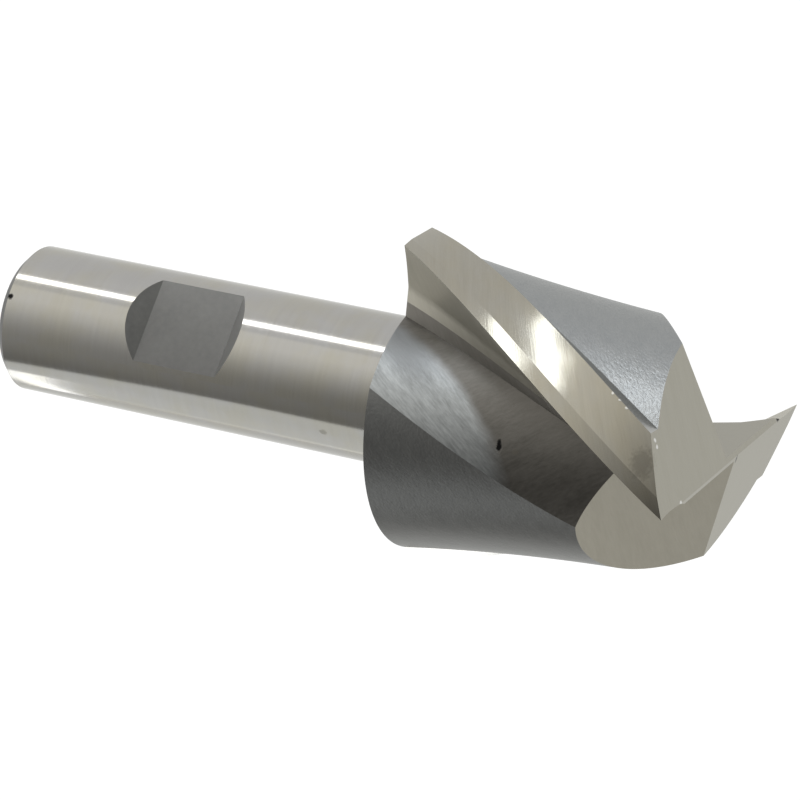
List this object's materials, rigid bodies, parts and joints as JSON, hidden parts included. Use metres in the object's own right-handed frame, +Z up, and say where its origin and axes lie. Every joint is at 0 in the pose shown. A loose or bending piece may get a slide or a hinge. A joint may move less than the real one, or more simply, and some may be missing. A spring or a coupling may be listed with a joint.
{
  "type": "square end mill",
  "caption": "Square end mill: large fluted head with helical teeth, cutting on its side and end, on a smaller round shank with a side-lock flat; it lies on its side.",
  "frame": {"origin": "on the surface that the tool lies on, at the middle of its length and width", "axes": "+X runs along the tool to its cutting end, +Z is up as it lies; the tool's own axis rises towards the head"},
  "size_m": [0.1012, 0.0444, 0.0415],
  "materials": {
    "end_mill": "ground steel on the shank and lands, satin unground body, darker milled flutes"
  },
  "bodies": {
    "root": {"end_mill": "end_mill"}
  },
  "joints": []
}
